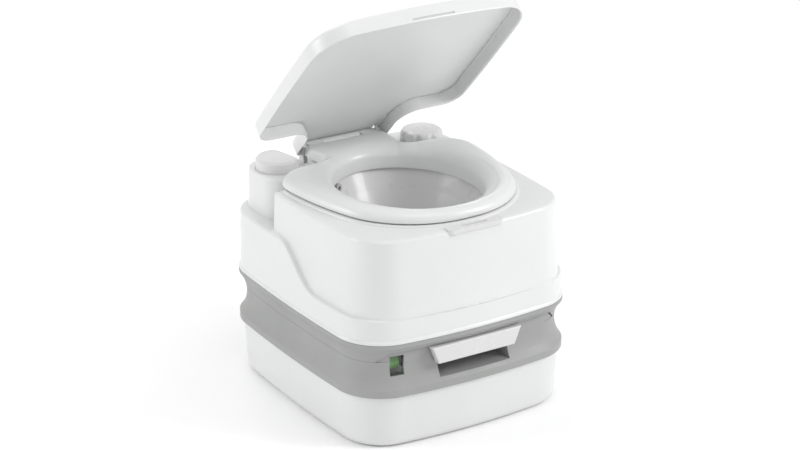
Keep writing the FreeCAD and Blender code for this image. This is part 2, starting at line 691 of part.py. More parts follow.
def pump_ring():
    """Cover of the column: a plate with a rounded rim and a guide for the push cap."""
    plate = column(0, PUMP_TOP_Z - 3.9, PUMP_TOP_Z)
    rim = [e for e in plate.Edges if e.BoundBox.ZMin > PUMP_TOP_Z - 0.1]
    plate = plate.makeFillet(2.0, rim)
    guide = upright(PUMP_HEAD_R + 1.8, PUMP, PUMP_TOP_Z - 14, PUMP_TOP_Z - 3)
    guide = guide.common(column(SHELL + SLIT, PUMP_TOP_Z - 15, PUMP_TOP_Z))
    return plate.fuse(guide).cut(upright(PUMP_HEAD_R + 0.5, PUMP, 260, 290))


def pump_head():
    """Push cap: flat top, bevelled shoulder and a sloping thumb face towards the bowl."""
    cap = upright(PUMP_HEAD_R, PUMP, 268, PUMP_HEAD_TOP_Z)
    rim = [e for e in cap.Edges if e.BoundBox.ZMin > PUMP_HEAD_TOP_Z - 0.1]
    cap = cap.makeChamfer(3.0, rim)
    slope = polygon([V(PUMP.x + 6, 60, PUMP_HEAD_TOP_Z + 0.4), V(PUMP.x + 50, 60, PUMP_HEAD_TOP_Z - 16),
                     V(PUMP.x + 50, 60, 320), V(PUMP.x + 6, 60, 320)]).extrude(V(0, 140, 0))
    room = upright(PUMP_HEAD_R - 2.2, PUMP, 260, PUMP_HEAD_TOP_Z - 14)
    return cap.cut(slope).cut(room)


def bellows():
    """Corrugated blow-moulded bellows, closed at the top."""
    low, high, folds, valley, crest, skin = 236.1, 285.6, 8, 20.0, 26.0, 1.2
    pitch = (high - low) / folds
    outer = [V(valley, 0, low)]
    for k in range(folds):
        outer += [V(crest, 0, low + pitch * (k + 0.5)), V(valley, 0, low + pitch * (k + 1))]
    inner = [V(p.x - skin, 0, p.z) for p in reversed(outer)]
    inner[0].z = high - skin
    top = [V(0, 0, high), V(0, 0, high - skin)]
    body = polygon(outer + top + inner).revolve(V(0, 0, 0), UP, 360)
    body.translate(PUMP)
    return body


FLUSH_PORT = PUMP + V(11.5, -10.5, 0)


def pump_base():
    plate = column(SHELL + GAP, 232.0, 236.0)
    solid = fuse([plate, upright(6.0, PUMP, 214, 233), upright(5.0, FLUSH_PORT, 214, 233)])
    return cut_all(solid, [upright(4.2, PUMP, 205, 240), upright(2.6, FLUSH_PORT, 205, 240)])


def intake_valve():
    return upright(6.5, PUMP, 236.1, 237.5)


def suction_tube():
    return tube(7.6, 6.1, PUMP, 156.0, 226.0)


def strainer():
    cup = tube(10.0, 7.7, PUMP, 153.0, 168.0).fuse(upright(10.0, PUMP, 151.0, 153.2))
    for k in range(3):
        slot = box(-20, 20, -1.2, 1.2, 153.5, 155.5)
        slot.rotate(V(0, 0, 0), UP, 60 * k + 15)
        slot.translate(PUMP)
        cup = cup.cut(slot)
    return cup


FLUSH_Z, FLUSH_LOW_Z = 262.0, 206.0
FLUSH_RISER = V(-60, 88, 0)
NOZZLE_LINE = (V(-57.6, 83.2, FLUSH_Z), V(-50, 68, FLUSH_Z))


def flush_tube():
    points = [FLUSH_PORT + UP * 213.5, FLUSH_PORT + UP * FLUSH_LOW_Z, FLUSH_RISER + UP * FLUSH_LOW_Z,
              FLUSH_RISER + UP * FLUSH_Z, NOZZLE_LINE[0]]
    socket = tube(6.6, 5.1, FLUSH_PORT, 213.0, 226.0).fuse(tube(6.6, 3.6, FLUSH_PORT, 211.0, 213.6))
    return pipe(points, 5.4, 3.6).fuse(socket)


def flush_nozzle():
    tail, mouth = NOZZLE_LINE
    way = (mouth - tail).normalize()
    return rod(6.4, tail + way * 0.2, mouth).cut(rod(3.4, tail - way * 2, mouth + way * 2))


# ---- upper unit: filler ----
def filler_neck():
    neck = tube(FILLER_R, FILLER_R - 3, FILLER, 262, 289)
    flange = tube(29.5, FILLER_R - 1, FILLER, DECK_Z + SLIT, DECK_Z + 2)
    return fuse([neck, flange])


def filler_cap():
    """Domed cap with a knurled skirt."""
    skirt = upright(31, FILLER, 286.6, 296)
    dome = Part.makeCone(30, 22, 7.0, V(FILLER.x, FILLER.y, 296))
    solid = skirt.fuse(dome)
    ridge = [e for e in solid.Edges if e.BoundBox.ZMin > 302.9]
    solid = solid.makeFillet(3.0, ridge).cut(upright(FILLER_R + 0.4, FILLER, 280, 291.5))
    flutes = []
    for k in range(24):
        angle = 2 * math.pi * k / 24
        spot = FILLER + V(32.0 * math.cos(angle), 32.0 * math.sin(angle), 0)
        flutes.append(upright(2.2, spot, 280, 294.5))
    return cut_all(solid, flutes)


def filler_seal():
    return tube(FILLER_R - 0.2, FILLER_R - 4, FILLER, 289.3, 291.4)


# ---- hinge, seat and lid ----
def hinge_rod(radius, x0, x1):
    return rod(radius, V(x0, HINGE_Y, HINGE_Z), V(x1, HINGE_Y, HINGE_Z))


HINGE_SCREWS = [V(x, y, 0) for x in (-48, 48) for y in (136, 164)]


def hinge_base():
    plate = box(-LUG_OUT, LUG_OUT, 130, 170, HINGE_BAY_Z + SLIT, HINGE_BAY_Z + 4)
    parts = [plate]
    for side in (-1, 1):
        x0, x1 = sorted((side * LUG_IN, side * LUG_OUT))
        leg = box(x0, x1, HINGE_Y - 6, HINGE_Y + 6, HINGE_BAY_Z + 2, HINGE_Z)
        parts += [hinge_rod(KNUCKLE_R, x0, x1), leg]
    solid = fuse(parts).cut(hinge_rod(PIN_R, -LUG_OUT - 1, LUG_OUT + 1))
    return cut_all(solid, [upright(2.2, p, 260, 280) for p in HINGE_SCREWS])


def hinge_screws():
    return Part.makeCompound([screw(p + UP * (HINGE_BAY_Z + 6.1), p + UP * 259) for p in HINGE_SCREWS])


def hinge_pin():
    return hinge_rod(PIN_R, -LUG_OUT, LUG_OUT)


# height and inset of the seat's outline: outside from the lower edge up, and the hollow under it
SEAT_CROWN = [(SEAT_Z, 0.0), (292.0, 0.6), (296.5, 4.0), (300.0, 12.0), (302.0, 24.0)]
SEAT_HOLLOW = [(SEAT_Z - 1, 3.0), (293.0, 4.0), (299.0, 20.0)]


def seat_stack(levels):
    """Egg-shaped outlines, widest towards the hinge."""
    sections = [(z, 292 - 2 * inset, 430 - 2 * inset, 124 - inset) for z, inset in levels]
    return stack(sections, 50.0, side_bow=58.0, end_bow=20.0)


def seat_keep(inset, z0, z1):
    """Where the seat may be: cut off beside the hinge, with a plate that runs back to it."""
    back, end, half = SEAT_BACK_Y - inset, TONGUE_BACK_Y - inset, PLATE_HALF - inset
    slant = [(150 - inset, 50 - inset), (122 - inset, back)]
    right = [(200, -200), (200, 50 - inset)] + slant + [(half, back), (half, end)]
    left = [(-x, y) for x, y in reversed(right)]
    return polygon([V(x, y, z0) for x, y in right + left]).extrude(UP * (z1 - z0))


def seat():
    whole = seat_stack(SEAT_CROWN).common(seat_keep(0, 280, 310))
    ring = oval_stack([(SEAT_Z - 2, HOLE_A + 4, HOLE_B + 4), (300.0, HOLE_A + 17, HOLE_B + 17)])
    hollow = seat_stack(SEAT_HOLLOW).common(seat_keep(WALL, 280, 310)).cut(ring)
    bosses = [upright(PAD_R + 2, p, SEAT_Z + 1, 299.5) for p in SEAT_PADS]
    # the inner wall of the ring runs down into the bowl
    apron = oval_slab(HOLE_A + 3, HOLE_B + 3, 270.0, 296)
    solid = fuse([whole.cut(hollow), apron] + bosses)
    for side in (-1, 1):
        x0, x1 = sorted((side * 30.0, side * TONGUE_HALF))
        solid = solid.fuse(hinge_rod(KNUCKLE_R, x0, x1)).fuse(box(x0, x1, 138, HINGE_Y, 289, 302))
    well = oval_slab(HOLE_A, HOLE_B, 260, 310).fuse(
        oval_stack([(290.0, HOLE_A, HOLE_B), (302.5, HOLE_A + 18, HOLE_B + 18)]))
    middle = box(-29.9, 29.9, TONGUE_BACK_Y, 160, 280, 310)
    sockets = [upright(PAD_R + SLIT, p, 280, 293.1) for p in SEAT_PADS]
    return cut_all(solid, [well, middle, hinge_rod(PIN_R + 0.05, -60, 60)] + sockets)


def seat_buffers():
    return Part.makeCompound([upright(PAD_R, p, PLINTH_Z + 0.3, 293.0) for p in SEAT_PADS])


def lid_slab(inset, z0, z1):
    """Plan of the lid: nearly the deck's outline, cut back beside the hinge for the pump and the filler."""
    whole = slab(319 - 2 * inset, 341 - 2 * inset, 58 - inset, z0, z1, -11.0, side_bow=5.0, end_bow=13.0)
    back_y = LID_BACK_Y - inset
    for side in (-1, 1):
        x0, x1 = sorted((side * (LID_TONGUE_HALF - inset), side * 250.0))
        whole = whole.cut(box(x0, x1, back_y, 250, z0 - 1, z1 + 1))
    upright_edges = [e for e in whole.Edges if e.BoundBox.ZLength > z1 - z0 - 0.1]
    posts = [e for e in upright_edges if abs(e.BoundBox.YMin - back_y) < 0.1]
    outer_posts = [e for e in posts if abs(e.BoundBox.XMin) > 120]
    inner_posts = [e for e in posts if abs(e.BoundBox.XMin) < 80]
    return whole.makeFillet(26 - inset, outer_posts).makeFillet(30 + inset, inner_posts)


def closed_lid():
    outer = lid_slab(0, SEAT_Z + 0.3, LID_TOP_Z)
    top_edges = [e for e in outer.Edges if e.BoundBox.ZMin > LID_TOP_Z - 0.1]
    outer = outer.makeChamfer(5.0, top_edges)
    room = lid_slab(SHELL, SEAT_Z - 1, LID_TOP_Z - 7).fuse(lid_slab(SHELL + 4.5, SEAT_Z, LID_TOP_Z - SHELL))
    shell = outer.cut(room).cut(box(-61.5, 61.5, LID_BACK_Y - 12, 200, 280, 303.6))
    latch_slit = box(-31, 31, -200, -170, 291, 293.4)
    lug_slots = [box(-61.5, -54.2, HINGE_Y - 7, 200, 280, 320), box(54.2, 61.5, HINGE_Y - 7, 200, 280, 320)]
    web = box(-29.5, 29.5, HINGE_Y - 6, HINGE_Y + 6, HINGE_Z, LID_TOP_Z - 1)
    # the underside near the hinge is closed by a shelf
    shelf = lid_slab(1.0, 303.6, 310.0).common(box(-100, 100, 112, 200, 300, 312))
    shelf = shelf.cut(box(-66, 66, 114.5, 154.5, 306.1, 311))
    solid = fuse([shell, shelf, web, hinge_rod(KNUCKLE_R, -29.5, 29.5)])
    solid = cut_all(solid, [latch_slit] + lug_slots)
    return solid.cut(hinge_rod(PIN_R + 0.05, -60, 60))


def opened(shape):
    """Turn a piece of the closed lid to its half-open rest position."""
    copy = shape.copy()
    copy.rotate(V(0, HINGE_Y, HINGE_Z), V(-1, 0, 0), LID_OPEN_DEG)
    return copy


def lid():
    return opened(closed_lid())


def lid_catch():
    solid = box(-CATCH_HALF, CATCH_HALF, CATCH_FRONT_Y, -172, CATCH_Z, 285.8)
    ends = [e for e in solid.Edges if e.BoundBox.YMax < CATCH_FRONT_Y + 0.2 and e.BoundBox.ZLength > 5]
    solid = solid.makeFillet(6.0, ends)
    return solid.cut(box(-19, 19, -180.5, -177.5, 280, 290))


PIECES = [
    waste_tank, tank_cover, tank_gasket, valve_seat, valve_lip_seal, valve_guide, valve_screws,
    valve_blade, valve_handle, handle_screws,
    level_window, float_housing, float_shaft_seal, float_arm, float_ball, level_drum, level_red_band,
    spout_collar, spout_seal, pour_spout, spout_cap, spout_cap_seal,
    vent_seat, vent_button, vent_stem_seal, vent_spring, latch_guide, latch_slider,
    base_ring, ring_screws, tank_floor, latch_strike, upper_body, bowl, bowl_gasket,
    pump_housing, pump_ring, pump_head, bellows, pump_base, intake_valve, suction_tube, strainer,
    flush_tube, flush_nozzle, filler_neck, filler_cap, filler_seal,
    hinge_base, hinge_screws, hinge_pin, seat, seat_buffers, lid, lid_catch,
]


def main():
    os.makedirs("parts", exist_ok=True)
    for make in PIECES:
        shape = make()
        shape.exportStep(os.path.join("parts", make.__name__ + ".step"))
        solids = len(shape.Solids)
        print(f"{make.__name__:18s} solids {solids}  valid {shape.isValid()}  cm3 {shape.Volume / 1000:.1f}")


main()
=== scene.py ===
"""Looks of the portable camp toilet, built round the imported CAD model. Metres, in the model's own frame."""
import json
import math

import bmesh
import bpy
from mathutils import Matrix, Vector
from mathutils.geometry import delaunay_2d_cdt


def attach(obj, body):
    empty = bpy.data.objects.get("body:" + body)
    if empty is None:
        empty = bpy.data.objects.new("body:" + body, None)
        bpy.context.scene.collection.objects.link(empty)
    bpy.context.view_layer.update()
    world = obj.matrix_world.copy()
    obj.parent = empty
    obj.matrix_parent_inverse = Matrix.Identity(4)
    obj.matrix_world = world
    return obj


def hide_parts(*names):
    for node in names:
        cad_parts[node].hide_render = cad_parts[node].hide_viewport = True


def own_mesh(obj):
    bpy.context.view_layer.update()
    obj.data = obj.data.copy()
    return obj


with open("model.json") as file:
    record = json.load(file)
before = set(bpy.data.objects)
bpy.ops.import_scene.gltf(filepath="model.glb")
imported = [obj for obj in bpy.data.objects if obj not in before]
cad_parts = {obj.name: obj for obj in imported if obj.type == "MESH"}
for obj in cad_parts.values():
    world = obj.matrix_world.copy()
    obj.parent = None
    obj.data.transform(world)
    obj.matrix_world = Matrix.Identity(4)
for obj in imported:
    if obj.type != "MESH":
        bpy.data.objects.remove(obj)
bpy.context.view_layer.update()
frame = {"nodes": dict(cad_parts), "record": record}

MM = 0.001
NODES = frame["nodes"]


# ---- camera, floor and lights ----
def place_camera(target, distance, azimuth, elevation, lens):
    a, e = math.radians(azimuth), math.radians(elevation)
    back = Vector((math.sin(a) * math.cos(e), -math.cos(a) * math.cos(e), math.sin(e)))
    camera = bpy.data.objects.new("camera", bpy.data.cameras.new("camera"))
    camera.data.lens, camera.data.sensor_width = lens, 36.0
    camera.data.clip_end = 50.0
    camera.location = target + back * distance
    camera.rotation_euler = back.to_track_quat("Z", "Y").to_euler()
    bpy.context.scene.collection.objects.link(camera)
    bpy.context.scene.camera = camera


def area_light(name, location, aim, size, power):
    light = bpy.data.lights.new(name, "AREA")
    light.shape, light.size, light.energy = "DISK", size, power
    lamp = bpy.data.objects.new(name, light)
    lamp.location = location
    lamp.rotation_euler = (Vector(location) - Vector(aim)).to_track_quat("Z", "Y").to_euler()
    bpy.context.scene.collection.objects.link(lamp)


place_camera(target=Vector((97.7, 152.3, 150.0)) * MM, distance=3450.8 * MM, azimuth=-32.1, elevation=21.8,
             lens=110.96)

world = bpy.data.worlds.new("studio")
world.use_nodes = True
background = world.node_tree.nodes["Background"]
background.inputs["Color"].default_value = (1.0, 1.0, 1.0, 1)
background.inputs["Strength"].default_value = 0.72
bpy.context.scene.world = world
bpy.context.scene.view_settings.view_transform = "Standard"

# name, place and aim in metres, diameter in metres, power in watts
area_light("key", (2.0, -1.9, 1.9), (0, 0, 0.2), 1.2, 40)
area_light("side", (-2.6, 1.2, 1.4), (0, 0, 0.25), 1.4, 24)
area_light("top", (0.0, -0.7, 3.3), (0, 0, 0.2), 1.6, 12)
area_light("rim", (0.2, 2.2, 2.6), (0, 0, 0.3), 1.6, 16)


# ---- materials ----
def new_material(name):
    material = bpy.data.materials.new(name)
    material.use_nodes = True
    return material, material.node_tree.nodes, material.node_tree.links


def plastic(name, colour, roughness, grain_mm, grain, wave=0.0, coat=0.0, tint=0.03, sss=0.0):
    """Moulded plastic: faint mottling, uneven gloss, fine grain and optional slow waves in the surface."""
    material, nodes, links = new_material(name)
    shader = nodes["Principled BSDF"]
    place = nodes.new("ShaderNodeTexCoord").outputs["Object"]

    def noise(scale, detail=3.0):
        node = nodes.new("ShaderNodeTexNoise")
        node.inputs["Scale"].default_value = scale
        node.inputs["Detail"].default_value = detail
        links.new(place, node.inputs["Vector"])
        return node.outputs["Fac"]

    def ramp(source, low, high, at=(0.3, 0.7)):
        node = nodes.new("ShaderNodeValToRGB")
        for stop, position, value in zip(node.color_ramp.elements, at, (low, high)):
            stop.position, stop.color = position, value
        links.new(source, node.inputs["Fac"])
        return node.outputs["Color"]

    dark = tuple(c * (1 - tint) for c in colour) + (1,)
    links.new(ramp(noise(9.0, 5.0), dark, colour + (1,)), shader.inputs["Base Color"])
    low, high = roughness * 0.82, min(roughness * 1.18, 1.0)
    links.new(ramp(noise(23.0, 6.0), (low, low, low, 1), (high, high, high, 1)), shader.inputs["Roughness"])
    shader.inputs["Coat Weight"].default_value = coat
    shader.inputs["Coat Roughness"].default_value = 0.12
    shader.inputs["Subsurface Weight"].default_value = sss
    shader.inputs["Subsurface Radius"].default_value = (0.004, 0.004, 0.0035)
    fine = nodes.new("ShaderNodeBump")
    fine.inputs["Strength"].default_value = grain
    fine.inputs["Distance"].default_value = 0.00012
    links.new(noise(1000.0 / grain_mm, 2.0), fine.inputs["Height"])
    if wave:
        slow = nodes.new("ShaderNodeBump")
        slow.inputs["Strength"].default_value = wave
        slow.inputs["Distance"].default_value = 0.0012
        links.new(noise(16.0, 1.0), slow.inputs["Height"])
        links.new(slow.outputs["Normal"], fine.inputs["Normal"])
    links.new(fine.outputs["Normal"], shader.inputs["Normal"])
    return material


def uneven_gloss(nodes, links, scale, low, high):
    """Lets a noise vary the roughness between two values, and gives that noise."""
    pattern = nodes.new("ShaderNodeTexNoise")
    pattern.inputs["Scale"].default_value = scale
    links.new(nodes.new("ShaderNodeTexCoord").outputs["Object"], pattern.inputs["Vector"])
    span = nodes.new("ShaderNodeMapRange")
    span.inputs["To Min"].default_value, span.inputs["To Max"].default_value = low, high
    links.new(pattern.outputs["Fac"], span.inputs["Value"])
    links.new(span.outputs["Result"], nodes["Principled BSDF"].inputs["Roughness"])
    return pattern.outputs["Fac"]


def brushed_steel(name):
    material, nodes, links = new_material(name)
    shader = nodes["Principled BSDF"]
    shader.inputs["Base Color"].default_value = (0.60, 0.60, 0.59, 1)
    shader.inputs["Metallic"].default_value = 1.0
    streaks = uneven_gloss(nodes, links, 900.0, 0.22, 0.42)
    bump = nodes.new("ShaderNodeBump")
    bump.inputs["Strength"].default_value, bump.inputs["Distance"].default_value = 0.2, 0.0001
    links.new(streaks, bump.inputs["Height"])
    links.new(bump.outputs["Normal"], shader.inputs["Normal"])
    return material


def clear_plastic(name):
    material, nodes, links = new_material(name)
    shader = nodes["Principled BSDF"]
    shader.inputs["Base Color"].default_value = (0.95, 0.97, 0.96, 1)
    shader.inputs["Transmission Weight"].default_value = 1.0
    shader.inputs["IOR"].default_value = 1.45
    uneven_gloss(nodes, links, 140.0, 0.02, 0.10)
    return material


# of each plastic: colour, roughness, size of the grain in millimetres, strength of the grain
LOOKS = {
    "white_shell": plastic("white_shell", (0.74, 0.745, 0.745), 0.34, 0.9, 0.25, coat=0.15, sss=0.06),
    "tank_white": plastic("tank_white", (0.73, 0.735, 0.735), 0.40, 1.1, 0.35, wave=0.35, sss=0.06),
    "white_trim": plastic("white_trim", (0.68, 0.68, 0.68), 0.30, 0.8, 0.2, coat=0.2),
    "grey_shell": plastic("grey_shell", (0.34, 0.345, 0.34), 0.50, 0.7, 0.6, tint=0.06),
    "inner_plastic": plastic("inner_plastic", (0.50, 0.505, 0.505), 0.45, 0.8, 0.3),
    "dark_plastic": plastic("dark_plastic", (0.035, 0.035, 0.038), 0.42, 0.8, 0.4, tint=0.2),
    "seal_rubber": plastic("seal_rubber", (0.02, 0.02, 0.021), 0.70, 0.6, 0.6, tint=0.2),
    "soft_rubber": plastic("soft_rubber", (0.50, 0.51, 0.52), 0.65, 0.7, 0.5, tint=0.06),
    "green_plastic": plastic("green_plastic", (0.12, 0.42, 0.05), 0.32, 0.8, 0.2, coat=0.3),
    "red_plastic": plastic("red_plastic", (0.55, 0.03, 0.02), 0.32, 0.8, 0.2, coat=0.3),
    "steel": brushed_steel("steel"),
    "clear_window": clear_plastic("clear_window"),
}
FLOOR = plastic("floor", (0.97, 0.97, 0.97), 0.75, 2.0, 0.1, tint=0.01)


def dress(piece, slot):
    piece.data.materials.clear()
    piece.data.materials.append(LOOKS[slot])


# ---- floor ----
def make_floor():
    mesh = bpy.data.meshes.new("floor")
    half = 8.0
    corners = [(-half, -half, 0), (half, -half, 0), (half, half, 0), (-half, half, 0)]
    mesh.from_pydata(corners, [], [(0, 1, 2, 3)])
    floor = bpy.data.objects.new("floor", mesh)
    mesh.materials.append(FLOOR)
    bpy.context.scene.collection.objects.link(floor)


make_floor()


# ---- outlines, in millimetres ----
BOWL_CENTRE = (0.0, -24.0)
HINGE_Y, HINGE_Z, BARREL_R = 150.0, 296.0, 7.0


def smooth(t):
    """0 below 0, 1 above 1 and an easy S between."""
    t = min(1.0, max(0.0, t))
    return 3 * t ** 2 - 2 * t ** 3


def bowed(width, depth, corner, y_mid=0.0, side_bow=8.0, end_bow=15.6, steps=(26, 20, 18)):
    """Rounded rectangle with bowed sides, anticlockwise from the middle of the right side."""
    a, b = width / 2, depth / 2
    end_r = (a * a + end_bow ** 2) / (2 * end_bow)
    side_r = (b * b + side_bow ** 2) / (2 * side_bow)
    end_c, side_c = b - end_r, a - side_r
    reach_end, reach_side = end_r - corner, side_r - corner
    span = math.hypot(side_c, end_c)
    ux, uy = side_c / span, -end_c / span
    along = (reach_end ** 2 - reach_side ** 2 + span ** 2) / (2 * span)
    off = math.sqrt(reach_end ** 2 - along ** 2)
    cx, cy = max(((ux * along - s * uy * off, end_c + uy * along + s * ux * off) for s in (1, -1)), key=sum)
    low, high = math.atan2(cy, cx - side_c), math.atan2(cy - end_c, cx)
    quarter = []
    for (x, y, r), (start, stop), count in zip(
            ((side_c, 0, side_r), (cx, cy, corner), (0, end_c, end_r)),
            ((0, low), (low, high), (high, math.pi / 2)), steps):
        for k in range(count):
            angle = start + (stop - start) * k / count
            quarter.append((x + r * math.cos(angle), y + r * math.sin(angle)))
    mirrored = [(0.0, b)] + [(-x, y) for x, y in reversed(quarter[1:])]
    half = quarter + mirrored
    return [(x, y + y_mid) for x, y in half] + [(-x, -y + y_mid) for x, y in half]


def rounded(corners, steps=10):
    """Replaces each (x, y, radius) corner that has a radius by an arc."""
    points = []
    for k, (x, y, radius) in enumerate(corners):
        if not radius:
            points.append((x, y))
            continue
        here = Vector((x, y))
        before = Vector(corners[k - 1][:2]) - here
        after = Vector(corners[(k + 1) % len(corners)][:2]) - here
        before.normalize()
        after.normalize()
        half = math.acos(max(-1.0, min(1.0, before.dot(after)))) / 2
        reach = radius / math.tan(half)
        start, stop = here + before * reach, here + after * reach
        centre = here + (before + after).normalized() * (radius / math.sin(half))
        for n in range(steps + 1):
            t = n / steps
            spoke = ((start - centre) * math.sin((1 - t) * (math.pi / 2 - half) * 2)
                     + (stop - centre) * math.sin(t * (math.pi / 2 - half) * 2))
            points.append(tuple(centre + spoke / math.sin((math.pi / 2 - half) * 2)))
    return points


def inset(points, distance):
    """Moves an anticlockwise outline inwards."""
    moved = []
    for k, (x, y) in enumerate(points):
        px, py = points[k - 1]
        nx, ny = points[(k + 1) % len(points)]
        a = Vector((x - px, y - py)).normalized()
        b = Vector((nx - x, ny - y)).normalized()
        way = Vector((-(a.y + b.y), a.x + b.x))
        way.normalize()
        mitre = max(0.4, way.dot(Vector((-a.y, a.x))))
        moved.append((x + way.x * distance / mitre, y + way.y * distance / mitre))
    return moved


def cut_out(outline, inside, path):
    """Replaces the stretch of an outline for which inside(x, y) holds by a path of (x, y, radius) corners."""
    keep = [not inside(x, y) for x, y in outline]
    first = next(k for k in range(len(outline)) if keep[k - 1] and not keep[k])
    turned = outline[first:] + outline[:first]
    rest = [(x, y, 0) for x, y in turned if not inside(x, y)]
    return path + rest


def within(point, loop):
    x, y = point
    hit = False
    for (ax, ay), (bx, by) in zip(loop, loop[1:] + loop[:1]):
        if (ay > y) != (by > y) and x < ax + (y - ay) * (bx - ax) / (by - ay):
            hit = not hit
    return hit


def oval(a, b, count=128):
    """Oval round the middle of the bowl."""
    angles = [2 * math.pi * k / count for k in range(count)]
    return [(BOWL_CENTRE[0] + a * math.cos(angle), BOWL_CENTRE[1] + b * math.sin(angle)) for angle in angles]


# ---- skins ----
CUT_MARGIN, CUT_SNAP = 0.004, 0.000005
MERGE_DISTANCE, SLIVER_LENGTH = 0.00002, 0.00001


def cut_window(bm, low, high):
    """Removes the faces inside a box, after splitting the mesh along the box's sides."""
    low, high = Vector(low) * MM, Vector(high) * MM

    def beside(face):
        for k in range(3):
            along = [v.co[k] for v in face.verts]
            if max(along) <= low[k] - CUT_MARGIN or min(along) >= high[k] + CUT_MARGIN:
                return False
        return True

    for axis in range(3):
        for corner in (low, high):
            normal = [1.0 if k == axis else 0.0 for k in range(3)]
            near = [f for f in bm.faces if beside(f)]
            geom = near + list({e for f in near for e in f.edges}) + list({v for f in near for v in f.verts})
            bmesh.ops.bisect_plane(bm, geom=geom, plane_co=corner, plane_no=normal, dist=CUT_SNAP)
    inner = [f for f in bm.faces if all(low[k] < f.calc_center_median()[k] < high[k] for k in range(3))]
    bmesh.ops.delete(bm, geom=inner, context="FACES")


class Skin:
    """Collects rings, walls and flat sheets in millimetres and makes one mesh object from them."""

    def __init__(self):
        self.points, self.faces = [], []

    def ring(self, outline, height):
        start = len(self.points)
        for x, y in outline:
            self.points.append((x, y, height(x, y) if callable(height) else height))
        return list(range(start, len(self.points)))

    def walls(self, rings):
        """Quads between each ring and the next; going up an anticlockwise ring they face outwards."""
        for low, high in zip(rings, rings[1:]):
            for k in range(len(low)):
                n = (k + 1) % len(low)
                self.faces.append((low[k], low[n], high[n], high[k]))

    def sheet(self, outer, holes=(), height=0.0, spacing=9.0):
        """Triangles that fill an outline round its holes, facing up."""
        loops = [outer] + list(holes)
        xs, ys = [p[0] for p in outer], [p[1] for p in outer]
        coords, edges = [], []
        for loop in loops:
            start = len(coords)
            coords += [Vector(p) for p in loop]
            edges += [(start + k, start + (k + 1) % len(loop)) for k in range(len(loop))]
        border = list(coords)
        rows = int((max(ys) - min(ys)) / spacing) + 1
        columns = int((max(xs) - min(xs)) / spacing) + 1
        for row in range(rows):
            for column in range(columns):
                p = (min(xs) + (column + 0.5 * (row % 2)) * spacing, min(ys) + (row + 0.5) * spacing)
                if not within(p, outer) or any(within(p, hole) for hole in holes):
                    continue
                if min((Vector(p) - q).length_squared for q in border) > (0.45 * spacing) ** 2:
                    coords.append(Vector(p))
        flat, _, triangles, _, _, _ = delaunay_2d_cdt(coords, edges, [], 0, 0.0001)
        start = len(self.points)
        for p in flat:
            self.points.append((p.x, p.y, height(p.x, p.y) if callable(height) else height))
        for face in triangles:
            middle = (sum(flat[v].x for v in face) / 3, sum(flat[v].y for v in face) / 3)
            if within(middle, outer) and not any(within(middle, hole) for hole in holes):
                a, b, c = (flat[v] for v in face)
                turn = (b - a).cross(c - a)
                order = face if turn > 0 else face[::-1]
                self.faces.append(tuple(start + v for v in order))

    def make(self, name, body, slot, nodes, thickness=0.0, edge=0.0, smooth_angle=35, turn=None, windows=()):
        """One object from what was collected; windows are boxes in which the skin is cut away."""
        bm = bmesh.new()
        made = [bm.verts.new((x * MM, y * MM, z * MM)) for x, y, z in self.points]
        for face in self.faces:
            bm.faces.new([made[v] for v in face])
        bmesh.ops.remove_doubles(bm, verts=bm.verts, dist=MERGE_DISTANCE)
        bmesh.ops.dissolve_degenerate(bm, edges=bm.edges, dist=SLIVER_LENGTH)
        loose = [v for v in bm.verts if not v.link_faces]
        bmesh.ops.delete(bm, geom=loose, context="VERTS")
        for window in windows:
            cut_window(bm, *window)
        if turn:
            bmesh.ops.transform(bm, matrix=turn, verts=bm.verts)
        mesh = bpy.data.meshes.new(name)
        bm.to_mesh(mesh)
        bm.free()
        piece = bpy.data.objects.new(name, mesh)
        bpy.context.scene.collection.objects.link(piece)
        for face in mesh.polygons:
            face.use_smooth = True
        if thickness:
            solid = piece.modifiers.new("wall", "SOLIDIFY")
            solid.thickness, solid.offset = thickness * MM, -1.0
        if edge:
            bevel = piece.modifiers.new("edges", "BEVEL")
            bevel.width, bevel.segments, bevel.limit_method = edge * MM, 3, "ANGLE"
            bevel.angle_limit = math.radians(50)
        mesh.set_sharp_from_angle(angle=math.radians(smooth_angle))
        dress(piece, slot)
        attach(piece, body)
        if nodes:
            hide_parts(*nodes)


# ---- flush unit shell ----
DECK_Z, PLATFORM_Z, RIDGE_Z = 284.0, 229.5, 180.0
LEDGE_TURN_Y, LEDGE_RUN = 27.0, 87.0
LIP_TOP_Z, LEDGE_EDGE_R, DECK_EDGE_R = 152.2, 2.6, 5.0
BLOCK = bowed(314.4, 359.3, 55.0, -4.7)
BAY_X, BAY_Y = -74.0, 56.0
HINGE_HALF, HINGE_FRONT, HINGE_FLOOR = 74.0, 128.0, 268.0


def ledge(x, y):
    """Height of the ledge: level round the back, an easy S down to the front."""
    return PLATFORM_Z + (RIDGE_Z - PLATFORM_Z) * smooth((LEDGE_TURN_Y - y) / LEDGE_RUN)


def crossing(outline, axis, value, pick):
    """Where an outline crosses x = value (axis 0) or y = value (axis 1)."""
    hits = []
    for p, q in zip(outline, outline[1:] + outline[:1]):
        if (p[axis] - value) * (q[axis] - value) <= 0 and p[axis] != q[axis]:
            t = (value - p[axis]) / (q[axis] - p[axis])
            hits.append(tuple(p[i] + (q[i] - p[i]) * t for i in (0, 1)))
    return pick(hits, key=lambda h: h[1 - axis])


